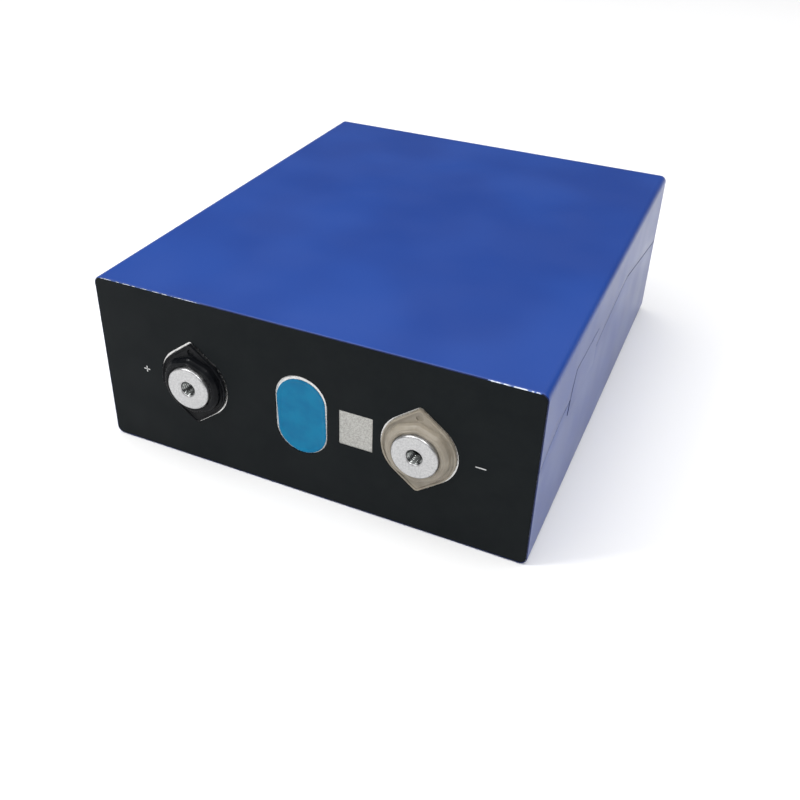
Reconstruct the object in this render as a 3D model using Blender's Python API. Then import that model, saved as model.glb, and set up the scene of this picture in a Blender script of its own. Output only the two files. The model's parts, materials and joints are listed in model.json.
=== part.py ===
"""Large-format prismatic lithium iron phosphate cell, lying on one of its large faces.

+X runs along the lid from the positive terminal to the negative one, +Y runs from the lid to the
base of the case and +Z is up, through the cell's thickness. The origin is the centre of the
bounding box's underside. Lengths are in metres.

A depth is a distance along +Y from the outer face of the lid film. Pieces that stand proud of the
lid film have negative depths.
"""

import math

import bmesh
import bpy

# Driving dimensions of the cell.
CELL_WIDTH = 0.1739
CELL_THICKNESS = 0.0717
CELL_LENGTH = 0.2078
TERMINAL_PROUD = 0.0045
TERMINAL_PITCH = 0.0912
MID_Z = CELL_THICKNESS / 2
LID_FACE_Y = TERMINAL_PROUD - CELL_LENGTH / 2
# The lid's features are centred a little to the positive side of the wrap's middle.
LID_X = -0.0006
TERMINAL_X = {"positive": LID_X - TERMINAL_PITCH / 2, "negative": LID_X + TERMINAL_PITCH / 2}
BODY_LENGTH = CELL_LENGTH - TERMINAL_PROUD

# Clearances between neighbouring pieces.
FIT = 0.00005
ROUND_FIT = 0.00015
SLACK = 0.0001

# Films and the case.
FILM = 0.0002
WRAP_CORNER = 0.0028
WRAP_LIP = 0.0004
WRAP_BASE_LIP = 0.007
BASE_FILM_INSET = 0.0012
CASE_WALL = 0.0008
CASE_BASE = 0.0015

# Lid plate, vent and filling hole.
LID_THICKNESS = 0.002
POLE_HOLE_R = 0.0077
VENT_HOLE = (0.0130, 0.0244)
VENT_SEAT = (0.0170, 0.0284)
VENT_SEAT_DEPTH = 0.0006
VENT_DISC_THICKNESS = 0.0003
VENT_SCORE_WIDTH = 0.0005
VENT_SCORE_DEPTH = 0.00015
VENT_FILM = (0.0193, 0.0310)
VENT_FILM_DROP = 0.0008
VENT_FILM_TURN = math.radians(1.5)
FILL_X = LID_X - 0.0218
FILL_HOLE_R = 0.0016
FILL_CAP_R = 0.0031
FILL_CAP_SEAT = 0.0006

# Windows of the lid film.
TERMINAL_WINDOW = (0.0145, 0.0179)
VENT_WINDOW = (0.0208, 0.0334)
CODE_WINDOW = (0.0130, 0.0146)
CODE_X = LID_X + 0.0216
CODE_CORNER = 0.0003

# Terminal, its frame and what holds it in the lid.
TERMINAL_R = 0.0087
TERMINAL_CHAMFER = 0.0003
TERMINAL_HEAD = 0.0036
HUB_R = 0.0062
HUB_END = 0.0043
THREAD_R = 0.0025
THREAD_MOUTH_R = 0.0032
THREAD_DEPTH = 0.0075
FRAME_R = 0.0139
FRAME_TIP = 0.0172
FRAME_TIP_R = 0.0016
FRAME_HEIGHT = 0.0010
FRAME_EDGE = 0.0003
BOSS_R = 0.012
BOSS_HEIGHT = 0.0033
BOSS_EDGE = 0.0011
SLEEVE_R = 0.0074
SLEEVE_DEPTH = 0.0013
DIMPLE_R = 0.0012
DIMPLE_DEPTH = 0.0008
DIMPLE_OFFSET = 0.0134
SEAL_FOOT_R = 0.0094
SEAL_FOOT = 0.0009
POLE_BASE_R = 0.0089
POLE_BASE_START = 0.0033
POLE_BASE_END = 0.0053

# Insulators, collectors and tabs under the lid.
LOWER_INSULATOR = 0.0016
SKIRT_END = 0.0082
SKIRT_WALL = 0.0012
LOWER_HOLE_R = 0.0097
FILL_WAY_R = 0.0028
LOWER_INSULATOR_SIZE = (0.0680, 0.0690)
LOWER_INSULATOR_X = 0.0512
SHIELD_SIZE = (0.0310, 0.0690)
SHIELD_SLOTS = 5
SHIELD_SLOT = (0.0180, 0.0030)
SHIELD_PITCH = 0.0055
COLLECTOR_SIZE = (0.0400, 0.0580)
COLLECTOR_THICKNESS = {"positive": 0.0015, "negative": 0.0012}
COLLECTOR_HOLE_R = 0.0030
TAB_WIDTH = 0.0360
TAB_THICKNESS = 0.0010
TAB_REACH = 0.0150
TAPE = 0.00015
WELD_TAPE_SIZE = (0.0380, 0.0400)

# Wound rolls: four sheets wound together, so each turn holds all four.
ROLL_WIDTH = 0.1702
ROLL_OFFSET_Z = 0.01705
ROLL_ARCS = 8
ARC_STEPS = 5
SLIT_R = 0.0004
SHEET_GAP = 0.0001
CATHODE_SHEET = 0.00125
ANODE_SHEET = 0.0013
SEPARATOR_SHEET = 0.00025
SEPARATOR_SPAN = (0.0130, 0.1990)
ANODE_SPAN = (0.0145, 0.1980)
CATHODE_SPAN = (0.0155, 0.1970)
TAB_TURN = 4
ROLL_TAPE_WIDTH = 0.0600
ROLL_TAPE_LEG = 0.0250

# Bag and support plate.
BAG_TOP = 0.009
BAG_WALL = 0.0002
SUPPORT_THICKNESS = 0.0015
SUPPORT_HOLE_R = 0.0040
SUPPORT_HOLE_COLUMNS = (-0.060, -0.020, 0.020, 0.060)
SUPPORT_HOLE_ROWS = (-0.017, 0.017)

# Segments of round outlines.
CORNER_STEPS = 5
ROUND_STEPS = 40
SMALL_ROUND_STEPS = 16
OVERCUT = 0.001

# Depths that follow from the sizes above.
LID_TOP = FILM + FIT
LID_UNDERSIDE = LID_TOP + LID_THICKNESS
VENT_FLOOR = LID_TOP + VENT_SEAT_DEPTH
WRAP_END = BODY_LENGTH - FILM - FIT
CASE_END = WRAP_END - FILM - FIT
CASE_FLOOR = CASE_END - CASE_BASE
BAG_END = CASE_FLOOR - SLACK
SUPPORT_END = BAG_END - BAG_WALL - SLACK
COLLECTOR_TOP = POLE_BASE_END + FIT
HEAD_UNDERSIDE = TERMINAL_HEAD - TERMINAL_PROUD
CASE_WIDTH = CELL_WIDTH - 2 * (FILM + FIT)
CASE_THICKNESS = CELL_THICKNESS - 2 * (FILM + FIT)
CASE_CORNER = WRAP_CORNER - FILM - FIT


def clear_scene():
    for item in list(bpy.data.objects):
        bpy.data.objects.remove(item)


def finish(name, colour, roughness, metallic=0.0, alpha=1.0):
    """A Principled material."""
    material = bpy.data.materials.new(name)
    material.use_nodes = True
    shader = material.node_tree.nodes["Principled BSDF"]
    shader.inputs["Base Color"].default_value = (*colour, 1.0)
    shader.inputs["Roughness"].default_value = roughness
    shader.inputs["Metallic"].default_value = metallic
    shader.inputs["Alpha"].default_value = alpha
    return material


# Outlines are lists of (x, z) points, counter-clockwise, about their own centre.


def arc(centre, radius, start, end, steps):
    """Points on an arc between two angles, both ends included."""
    angles = [start + (end - start) * i / steps for i in range(steps + 1)]
    return [(centre[0] + radius * math.cos(a), centre[1] + radius * math.sin(a)) for a in angles]


def circle(radius, steps=ROUND_STEPS):
    return arc((0, 0), radius, 0, 2 * math.pi * (1 - 1 / steps), steps - 1)


def rounded_rectangle(size, corner, steps=CORNER_STEPS):
    """A rectangle with four round corners."""
    half_x, half_z = size[0] / 2 - corner, size[1] / 2 - corner
    centres = ((half_x, half_z), (-half_x, half_z), (-half_x, -half_z), (half_x, -half_z))
    points = []
    for turn, centre in enumerate(centres):
        start = turn * math.pi / 2
        points += arc(centre, corner, start, start + math.pi / 2, steps)
    return points


def obround(size):
    """An upright slot shape with full round ends."""
    half_gap = (size[1] - size[0]) / 2
    upper = arc((0, half_gap), size[0] / 2, 0, math.pi, 2 * CORNER_STEPS)
    lower = arc((0, -half_gap), size[0] / 2, math.pi, 2 * math.pi, 2 * CORNER_STEPS)
    return upper + lower


def pointed_round(radius, tip, tip_radius=FRAME_TIP_R):
    """A circle drawn out to a rounded point at its top and bottom, with ROUND_STEPS points."""
    tip_centre = tip - tip_radius
    shoulder = shoulder_angle(radius, tip, tip_radius)
    tip_steps = 4
    side_steps = ROUND_STEPS // 2 - tip_steps - 2
    points = []
    for side, sign in ((0, 1), (math.pi, -1)):
        points += arc((0, 0), radius, side - shoulder, side + shoulder, side_steps)
        end = side + math.pi - shoulder
        points += arc((0, sign * tip_centre), tip_radius, side + shoulder, end, tip_steps)
    return points


def shoulder_angle(radius, tip, tip_radius=FRAME_TIP_R):
    """Angle above the X axis at which a pointed outline leaves its circle."""
    return math.asin((radius - tip_radius) / (tip - tip_radius))


def level(outline, depth):
    """An outline as a ring of 3-D points at one depth."""
    return [(x, depth, z) for x, z in outline]


def skin(name, rings, material, centre=(0, MID_Z), closed=False):
    """A solid skinned over rings of equal point count. Its ends are capped, or joined if closed."""
    mesh = bpy.data.meshes.new(name)
    work = bmesh.new()
    rows = [[work.verts.new(point) for point in ring] for ring in rings]
    pairs = list(zip(rows, rows[1:]))
    if closed:
        pairs.append((rows[-1], rows[0]))
    else:
        work.faces.new(rows[0])
        work.faces.new(rows[-1])
    for first, second in pairs:
        for i, point in enumerate(first):
            j = (i + 1) % len(first)
            work.faces.new((point, first[j], second[j], second[i]))
    bmesh.ops.recalc_face_normals(work, faces=work.faces)
    work.to_mesh(mesh)
    work.free()
    mesh.shade_smooth()
    mesh.set_sharp_from_angle(angle=math.radians(30))
    mesh.materials.append(material)
    made = bpy.data.objects.new(name, mesh)
    made.location = (centre[0], LID_FACE_Y, centre[1])
    made.parent = CELL
    bpy.context.scene.collection.objects.link(made)
    return made


def plate(name, outline, start, end, material, centre=(0, MID_Z)):
    """A flat piece between two depths."""
    return skin(name, [level(outline, start), level(outline, end)], material, centre)


def turned(name, profile, material, x, closed=False, steps=ROUND_STEPS):
    """A round piece from its profile of (radius, depth) points, about a line along Y."""
    rings = [level(circle(radius, steps), depth) for radius, depth in profile]
    return skin(name, rings, material, (x, MID_Z), closed)


def cut(target, outline, start, end, centre=(0, MID_Z)):
    """Cuts a straight-sided hole in a piece."""
    cutter = plate(target.name + "_cutter", outline, start, end, target.data.materials[0], centre)
    cutter.hide_render = True
    cutter.display_type = "WIRE"
    step = target.modifiers.new("hole", "BOOLEAN")
    step.operation = "DIFFERENCE"
    step.solver = "EXACT"
    step.object = cutter


# The case and its films.


def inset_case_outline(inset):
    """The case's own outline, moved in by a distance."""
    size = (CASE_WIDTH - 2 * inset, CASE_THICKNESS - 2 * inset)
    return rounded_rectangle(size, max(CASE_CORNER - inset, 0.0005))


def make_wrap_film():
    """Blue sleeve, folded over the rim of the lid and over the edge of the base."""

    def outline(inset, corner):
        return rounded_rectangle((CELL_WIDTH - 2 * inset, CELL_THICKNESS - 2 * inset), corner)

    outer = outline(0, WRAP_CORNER)
    inner = outline(FILM, WRAP_CORNER - FILM)
    mouth = outline(WRAP_LIP, WRAP_CORNER - WRAP_LIP)
    base_mouth = outline(WRAP_BASE_LIP, WRAP_CORNER)
    rings = [
        level(mouth, 0),
        level(outer, 0),
        level(outer, WRAP_END),
        level(base_mouth, WRAP_END),
        level(base_mouth, WRAP_END - FILM),
        level(inner, WRAP_END - FILM),
        level(inner, FILM),
        level(mouth, FILM),
    ]
    skin("wrap_film", rings, BLUE_FILM, closed=True)


def make_base_film():
    size = (CELL_WIDTH - 2 * BASE_FILM_INSET, CELL_THICKNESS - 2 * BASE_FILM_INSET)
    plate("base_film", rounded_rectangle(size, WRAP_CORNER), WRAP_END + FIT, BODY_LENGTH, BLUE_FILM)


def make_case():
    """Drawn can, open at the lid end."""
    rings = [
        level(inset_case_outline(0), CASE_END),
        level(inset_case_outline(0), LID_TOP),
        level(inset_case_outline(CASE_WALL), LID_TOP),
        level(inset_case_outline(CASE_WALL), CASE_FLOOR),
    ]
    skin("case", rings, ALUMINIUM)


# The lid.


def make_lid_plate():
    lid = plate("lid_plate", inset_case_outline(CASE_WALL + FIT), LID_TOP, LID_UNDERSIDE, BARE_LID)
    above, below = LID_TOP - OVERCUT, LID_UNDERSIDE + OVERCUT
    for x in TERMINAL_X.values():
        cut(lid, circle(POLE_HOLE_R), above, below, (x, MID_Z))
    cut(lid, obround(VENT_SEAT), above, VENT_FLOOR, (LID_X, MID_Z))
    cut(lid, obround(VENT_HOLE), above, below, (LID_X, MID_Z))
    cut(lid, circle(FILL_CAP_R + SLACK, SMALL_ROUND_STEPS), above, LID_TOP + FILL_CAP_SEAT, (FILL_X, MID_Z))
    cut(lid, circle(FILL_HOLE_R, SMALL_ROUND_STEPS), above, below, (FILL_X, MID_Z))


def make_lid_film():
    size = (CELL_WIDTH - 2 * (WRAP_LIP + FIT), CELL_THICKNESS - 2 * (WRAP_LIP + FIT))
    film = plate("lid_film", rounded_rectangle(size, WRAP_CORNER - WRAP_LIP), 0, FILM, BLACK_FILM)
    above, below = -OVERCUT, FILM + OVERCUT
    for x in TERMINAL_X.values():
        cut(film, pointed_round(*TERMINAL_WINDOW), above, below, (x, MID_Z))
    cut(film, obround(VENT_WINDOW), above, below, (LID_X, MID_Z))
    cut(film, rounded_rectangle(CODE_WINDOW, CODE_CORNER, 2), above, below, (CODE_X, MID_Z))


def shrunk(size, amount):
    return (size[0] - amount, size[1] - amount)


def make_vent_disc():
    """Thin burst disc with a scored line round it, seated in the lid."""
    outline = shrunk(VENT_SEAT, 2 * SLACK)
    score_outer = shrunk(VENT_HOLE, 2 * VENT_SCORE_WIDTH)
    score_inner = shrunk(VENT_HOLE, 4 * VENT_SCORE_WIDTH)
    underside = VENT_FLOOR - FIT
    top = underside - VENT_DISC_THICKNESS
    rings = [
        level(obround(outline), underside),
        level(obround(outline), top),
        level(obround(score_outer), top),
        level(obround(score_outer), top + VENT_SCORE_DEPTH),
        level(obround(score_inner), top + VENT_SCORE_DEPTH),
        level(obround(score_inner), top),
    ]
    skin("vent_disc", rings, ALUMINIUM, (LID_X, MID_Z))


def make_vent_film():
    """Blue protective film over the vent, stuck a little low and turned on the lid plate."""
    cos_turn, sin_turn = math.cos(VENT_FILM_TURN), math.sin(VENT_FILM_TURN)
    outline = [(x * cos_turn - z * sin_turn, x * sin_turn + z * cos_turn) for x, z in obround(VENT_FILM)]
    plate("vent_film", outline, 0, FILM, VENT_BLUE, (LID_X, MID_Z - VENT_FILM_DROP))


def make_fill_parts():
    """Elastic plug pressed into the filling hole, under a welded cap."""
    turned(
        "fill_cap",
        [(FILL_CAP_R, LID_TOP), (FILL_CAP_R, LID_TOP + FILL_CAP_SEAT - FIT)],
        ALUMINIUM,
        FILL_X,
        steps=SMALL_ROUND_STEPS,
    )
    plug_r = FILL_HOLE_R - SLACK
    plug_top = LID_TOP + FILL_CAP_SEAT + FIT
    plug_end = LID_UNDERSIDE + 0.0010
    turned(
        "fill_plug",
        [(plug_r, plug_top), (plug_r, LID_UNDERSIDE), (plug_r * 0.6, plug_end)],
        RUBBER,
        FILL_X,
        steps=SMALL_ROUND_STEPS,
    )


# Terminals.


def make_terminal(side, x):
    """Round aluminium terminal with a blind threaded hole and a hub that passes through the lid."""
    face = -TERMINAL_PROUD
    mouth = THREAD_MOUTH_R - THREAD_R
    profile = [
        (THREAD_R, face + THREAD_DEPTH),
        (THREAD_R, face + mouth),
        (THREAD_MOUTH_R, face),
        (TERMINAL_R - TERMINAL_CHAMFER, face),
        (TERMINAL_R, face + TERMINAL_CHAMFER),
        (TERMINAL_R, HEAD_UNDERSIDE),
        (HUB_R, HEAD_UNDERSIDE),
        (HUB_R, HUB_END),
    ]
    turned(side + "_terminal", profile, ALUMINIUM, x)


def make_frame(side, x, material):
    """Moulded frame: a pointed flange on the lid, a boss round the terminal and a sleeve in the lid."""
    seat_r = TERMINAL_R + ROUND_FIT
    bore_r = HUB_R + ROUND_FIT
    floor = HEAD_UNDERSIDE + FIT
    rings = [
        level(pointed_round(FRAME_R, FRAME_TIP), LID_TOP - FIT),
        level(pointed_round(FRAME_R, FRAME_TIP), FRAME_EDGE - FRAME_HEIGHT),
        level(pointed_round(FRAME_R - FRAME_EDGE, FRAME_TIP - FRAME_EDGE), -FRAME_HEIGHT),
        level(circle(BOSS_R), -FRAME_HEIGHT),
        level(circle(BOSS_R), BOSS_EDGE - BOSS_HEIGHT),
        level(circle(BOSS_R - BOSS_EDGE), -BOSS_HEIGHT),
        level(circle(seat_r), -BOSS_HEIGHT),
        level(circle(seat_r), floor),
        level(circle(bore_r), floor),
        level(circle(bore_r), SLEEVE_DEPTH),
        level(circle(SLEEVE_R), SLEEVE_DEPTH),
        level(circle(SLEEVE_R), LID_TOP - FIT),
    ]
    aligned = [rings[0], rings[1], rings[2]] + [turn_start(ring) for ring in rings[3:]]
    frame = skin(side + "_frame", aligned, material, (x, MID_Z), closed=True)
    dimple = circle(DIMPLE_R, SMALL_ROUND_STEPS)
    cut(frame, dimple, -FRAME_HEIGHT - OVERCUT, DIMPLE_DEPTH - FRAME_HEIGHT, (x, MID_Z + DIMPLE_OFFSET))


def turn_start(ring):
    """The same ring, begun at the angle where a pointed outline begins."""
    shift = round(shoulder_angle(FRAME_R, FRAME_TIP) / (2 * math.pi) * len(ring))
    return ring[-shift:] + ring[:-shift]


def make_seal(side, x):
    """Ring with an L-shaped section: a sleeve in the lid's hole and a foot under the lid."""
    inner = HUB_R + ROUND_FIT
    sleeve_r = POLE_HOLE_R - ROUND_FIT
    foot_top = LID_UNDERSIDE + FIT
    profile = [
        (inner, SLEEVE_DEPTH + SLACK),
        (sleeve_r, SLEEVE_DEPTH + SLACK),
        (sleeve_r, foot_top),
        (SEAL_FOOT_R, foot_top),
        (SEAL_FOOT_R, foot_top + SEAL_FOOT),
        (inner, foot_top + SEAL_FOOT),
    ]
    turned(side + "_seal", profile, RUBBER, x, closed=True)


def make_pole_base(side, x, material):
    """Disc under the lid with a socket that holds the terminal's hub."""
    socket_r = HUB_R + ROUND_FIT
    profile = [
        (POLE_BASE_R, POLE_BASE_END),
        (POLE_BASE_R, POLE_BASE_START),
        (socket_r, POLE_BASE_START),
        (socket_r, HUB_END + FIT),
    ]
    turned(side + "_pole_base", profile, material, x)


# Insulators and current path under the lid.


def make_lower_insulator(side, sign):
    """Plate with a skirt, which keeps the collector and the lid apart."""
    top = LID_UNDERSIDE + FIT
    underside = top + LOWER_INSULATOR
    outer = rounded_rectangle(LOWER_INSULATOR_SIZE, 0.002)
    inner = rounded_rectangle(shrunk(LOWER_INSULATOR_SIZE, 2 * SKIRT_WALL), 0.001)
    shift = TERMINAL_X[side] - sign * LOWER_INSULATOR_X
    hole = [(x + shift, z) for x, z in circle(LOWER_HOLE_R, len(outer))]
    rings = [
        level(outer, top),
        level(outer, SKIRT_END),
        level(inner, SKIRT_END),
        level(inner, underside),
        level(hole, underside),
        level(hole, top),
    ]
    centre = (sign * LOWER_INSULATOR_X, MID_Z)
    insulator = skin(side + "_lower_insulator", rings, BLACK_PLASTIC, centre, closed=True)
    if side == "positive":
        filler = circle(FILL_WAY_R, SMALL_ROUND_STEPS)
        cut(insulator, filler, top - OVERCUT, underside + OVERCUT, (FILL_X, MID_Z))


def make_vent_shield():
    """Slotted plate that keeps the rolls away from the vent."""
    top = LID_UNDERSIDE + FIT
    underside = top + LOWER_INSULATOR
    shield = plate("vent_shield", rounded_rectangle(SHIELD_SIZE, 0.002), top, underside, BLACK_PLASTIC)
    for i in range(SHIELD_SLOTS):
        z = MID_Z + (i - (SHIELD_SLOTS - 1) / 2) * SHIELD_PITCH
        slot = rounded_rectangle(SHIELD_SLOT, 0.001, 2)
        cut(shield, slot, top - OVERCUT, underside + OVERCUT, (0, z))


def make_collector(side, x, material):
    """Sheet that joins the pole base to the foil tabs."""
    end = COLLECTOR_TOP + COLLECTOR_THICKNESS[side]
    outer = rounded_rectangle(COLLECTOR_SIZE, 0.002)
    hole = circle(COLLECTOR_HOLE_R, len(outer))
    rings = [level(outer, COLLECTOR_TOP), level(outer, end), level(hole, end), level(hole, COLLECTOR_TOP)]
    skin(side + "_collector", rings, material, (x, MID_Z), closed=True)


def sheet_offsets():
    """Inner and outer offsets of the four sheets within one turn of a roll, and the turn's pitch."""
    offsets, start = {}, 0.0
    sheets = (
        ("cathode", CATHODE_SHEET),
        ("inner_separator", SEPARATOR_SHEET),
        ("anode", ANODE_SHEET),
        ("outer_separator", SEPARATOR_SHEET),
    )
    for name, thickness in sheets:
        offsets[name] = (start, start + thickness)
        start += thickness + SHEET_GAP
    return offsets, start


SHEETS, PITCH = sheet_offsets()
SLIT_HALF = (ROLL_WIDTH - 2 * SLIT_R - (ROLL_ARCS + 1) * PITCH) / 2
SLIT_SHIFT = PITCH / 4
ROLL_HALF = SLIT_R + PITCH / 2 * ROLL_ARCS + PITCH - SHEET_GAP - SLIT_SHIFT


def spiral_side(offset):
    """One side of a wound sheet: straight runs joined by half turns whose radius keeps growing."""
    points = [(-SLIT_HALF, -(SLIT_R + offset))]
    for i in range(ROLL_ARCS):
        sign = 1 if i % 2 == 0 else -1
        for step in range(ARC_STEPS + 1):
            part = step / ARC_STEPS
            angle = math.pi * (i + part) - math.pi / 2
            radius = SLIT_R + offset + PITCH / 2 * (i + part)
            points.append((sign * SLIT_HALF + radius * math.cos(angle), radius * math.sin(angle)))
    last = SLIT_R + offset + PITCH / 2 * ROLL_ARCS
    points.append((SLIT_HALF, -last))
    return points


def make_sheet(name, kind, span, sign, material):
    """A wound sheet of a roll. Each roll's last turn ends on its outer face."""
    inner, outer = SHEETS[kind]
    outline = spiral_side(inner) + spiral_side(outer)[::-1]
    placed = [(x + SLIT_SHIFT, -sign * (z + SLIT_SHIFT)) for x, z in outline]
    plate(name, placed, span[0], span[1], material, (0, MID_Z + sign * ROLL_OFFSET_Z))


def make_roll(label, sign):
    """A wound roll: cathode, anode and two separators."""
    make_sheet(f"{label}_cathode", "cathode", CATHODE_SPAN, sign, CATHODE_MIX)
    make_sheet(f"{label}_anode", "anode", ANODE_SPAN, sign, ANODE_MIX)
    make_sheet(f"{label}_inner_separator", "inner_separator", SEPARATOR_SPAN, sign, SEPARATOR)
    make_sheet(f"{label}_outer_separator", "outer_separator", SEPARATOR_SPAN, sign, SEPARATOR)


def tab_height(kind):
    """Height above the mid plane of the sheet that a tab stack rises from."""
    inner, outer = SHEETS[kind]
    return ROLL_OFFSET_Z - SLIT_SHIFT + SLIT_R + PITCH / 2 * TAB_TURN + (inner + outer) / 2


def make_tab_stack(side, label, x, sign, kind, span, material):
    """Pressed foil tabs: up from the sheet's edge, then folded flat under the collector."""
    top = COLLECTOR_TOP + COLLECTOR_THICKNESS[side] + FIT
    outside = tab_height(kind) + TAB_THICKNESS / 2
    inside = outside - TAB_THICKNESS
    end = outside - TAB_REACH
    bend = 0.0020
    foot = span[0] - SLACK
    outer_bend = arc((outside - bend, top + bend), bend, 0, -math.pi / 2, 4)
    inner_bend = arc((outside - bend, top + bend), bend - TAB_THICKNESS, -math.pi / 2, 0, 4)
    profile = [(outside, foot)] + outer_bend + [(end, top), (end, top + TAB_THICKNESS)] + inner_bend
    profile.append((inside, foot))
    rings = [[(edge, depth, sign * z) for z, depth in profile] for edge in (-TAB_WIDTH / 2, TAB_WIDTH / 2)]
    skin(f"{side}_tab_stack_{label}", rings, material, (x, MID_Z))


def make_weld_tape(side, x):
    """Insulating tape over the welds between the tabs and the collector."""
    start = COLLECTOR_TOP + COLLECTOR_THICKNESS[side] + 2 * FIT + TAB_THICKNESS
    outline = rounded_rectangle(WELD_TAPE_SIZE, 0.001, 2)
    plate(f"{side}_weld_tape", outline, start, start + TAPE, BLUE_TAPE, (x, MID_Z))


def make_roll_tape(label, sign):
    """Tape folded round the base end of a roll, which stops its sheets sliding apart."""
    inner, outer = ROLL_HALF + FIT, ROLL_HALF + FIT + TAPE
    end = SEPARATOR_SPAN[1] + FIT
    start = end - ROLL_TAPE_LEG
    profile = [(outer, start), (outer, end + TAPE), (-outer, end + TAPE), (-outer, start)]
    profile += [(-inner, start), (-inner, end), (inner, end), (inner, start)]
    edges = (-ROLL_TAPE_WIDTH / 2, ROLL_TAPE_WIDTH / 2)
    rings = [[(edge, depth, z) for z, depth in profile] for edge in edges]
    skin(label + "_tape", rings, BLUE_TAPE, (0, MID_Z + sign * ROLL_OFFSET_Z))


# Bag and support plate round the rolls.


def make_bag():
    """Insulating film bag, open towards the lid."""
    outer = inset_case_outline(CASE_WALL + SLACK)
    inner = inset_case_outline(CASE_WALL + SLACK + BAG_WALL)
    rings = [
        level(outer, BAG_END),
        level(outer, BAG_TOP),
        level(inner, BAG_TOP),
        level(inner, BAG_END - BAG_WALL),
    ]
    skin("insulating_bag", rings, BAG_FILM)


def make_support_plate():
    outline = inset_case_outline(CASE_WALL + 2 * SLACK + BAG_WALL)
    start = SUPPORT_END - SUPPORT_THICKNESS
    support = plate("base_support", outline, start, SUPPORT_END, NATURAL_PLASTIC)
    for x in SUPPORT_HOLE_COLUMNS:
        for z in SUPPORT_HOLE_ROWS:
            hole = circle(SUPPORT_HOLE_R, SMALL_ROUND_STEPS)
            cut(support, hole, start - OVERCUT, SUPPORT_END + OVERCUT, (x, MID_Z + z))


clear_scene()
CELL = bpy.data.objects.new("cell", None)
bpy.context.scene.collection.objects.link(CELL)

BLUE_FILM = finish("blue_film", (0.041, 0.091, 0.352), 0.28)
BLACK_FILM = finish("black_film", (0.017, 0.022, 0.023), 0.45)
VENT_BLUE = finish("vent_film", (0.014, 0.171, 0.323), 0.30, alpha=0.9)
BARE_LID = finish("bare_lid", (0.60, 0.60, 0.59), 0.45, 1.0)
ALUMINIUM = finish("aluminium", (0.80, 0.80, 0.80), 0.35, 1.0)
COPPER = finish("copper", (0.72, 0.37, 0.22), 0.35, 1.0)
BLACK_PLASTIC = finish("black_plastic", (0.010, 0.011, 0.012), 0.40)
NATURAL_PLASTIC = finish("natural_plastic", (0.314, 0.266, 0.212), 0.50)
RUBBER = finish("seal_rubber", (0.030, 0.030, 0.032), 0.70)
CATHODE_MIX = finish("cathode_coating", (0.035, 0.035, 0.038), 0.80)
ANODE_MIX = finish("anode_coating", (0.060, 0.058, 0.056), 0.75)
SEPARATOR = finish("separator", (0.85, 0.85, 0.84), 0.60)
BLUE_TAPE = finish("blue_tape", (0.05, 0.20, 0.45), 0.50)
BAG_FILM = finish("bag_film", (0.55, 0.66, 0.72), 0.35, alpha=0.6)

make_wrap_film()
make_base_film()
make_case()
make_lid_plate()
make_lid_film()
make_vent_disc()
make_vent_film()
make_fill_parts()
make_vent_shield()
make_bag()
make_support_plate()

SIDES = (
    ("positive", -1, BLACK_PLASTIC, ALUMINIUM, "cathode", CATHODE_SPAN),
    ("negative", 1, NATURAL_PLASTIC, COPPER, "anode", ANODE_SPAN),
)
for side, sign, frame_plastic, metal, kind, span in SIDES:
    x = TERMINAL_X[side]
    make_terminal(side, x)
    make_frame(side, x, frame_plastic)
    make_seal(side, x)
    make_pole_base(side, x, metal)
    make_lower_insulator(side, sign)
    make_collector(side, x, metal)
    make_weld_tape(side, x)
    for label, roll_sign in (("upper", 1), ("lower", -1)):
        make_tab_stack(side, label, x, roll_sign, kind, span, metal)

for label, sign in (("upper_roll", 1), ("lower_roll", -1)):
    make_roll(label, sign)
    make_roll_tape(label, sign)
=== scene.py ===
"""Looks of a large prismatic battery cell lying on one large face. Lengths are in metres, except in
the lists of points that say millimetres.

A depth runs along +Y from the outer face of the lid film. Outlines are lists of (x, z) points about
their own centre, and a level is an outline at one depth.
"""

import json
import math

import bmesh
import bpy
from mathutils import Matrix, Vector, noise


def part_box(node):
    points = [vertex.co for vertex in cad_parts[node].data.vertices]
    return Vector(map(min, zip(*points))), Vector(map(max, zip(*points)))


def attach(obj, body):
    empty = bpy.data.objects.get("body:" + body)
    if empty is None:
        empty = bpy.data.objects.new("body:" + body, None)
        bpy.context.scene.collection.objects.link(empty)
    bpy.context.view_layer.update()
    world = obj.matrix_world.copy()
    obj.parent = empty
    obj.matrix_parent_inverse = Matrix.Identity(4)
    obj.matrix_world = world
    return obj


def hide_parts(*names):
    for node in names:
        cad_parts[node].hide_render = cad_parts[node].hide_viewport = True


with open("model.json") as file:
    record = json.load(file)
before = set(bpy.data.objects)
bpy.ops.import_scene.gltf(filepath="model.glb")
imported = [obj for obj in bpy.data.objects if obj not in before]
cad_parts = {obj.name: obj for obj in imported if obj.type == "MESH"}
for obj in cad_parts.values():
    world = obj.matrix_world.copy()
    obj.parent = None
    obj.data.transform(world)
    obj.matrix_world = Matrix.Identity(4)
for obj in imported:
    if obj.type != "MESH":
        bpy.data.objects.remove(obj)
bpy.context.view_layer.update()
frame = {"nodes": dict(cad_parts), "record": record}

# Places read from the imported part.
WRAP_LOW, WRAP_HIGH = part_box("wrap_film")
LID_Y = WRAP_LOW[1]
MID_Z = (WRAP_LOW[2] + WRAP_HIGH[2]) / 2
WRAP_LENGTH = WRAP_HIGH[1] - WRAP_LOW[1]
HALF_WIDTH = (WRAP_HIGH[0] - WRAP_LOW[0]) / 2
HALF_THICKNESS = (WRAP_HIGH[2] - WRAP_LOW[2]) / 2
TERMINAL_LOW, TERMINAL_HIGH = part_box("negative_terminal")
TERMINAL_R = (TERMINAL_HIGH[0] - TERMINAL_LOW[0]) / 2
FACE_DEPTH = TERMINAL_LOW[1] - LID_Y
NEGATIVE_X = (TERMINAL_LOW[0] + TERMINAL_HIGH[0]) / 2
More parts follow.
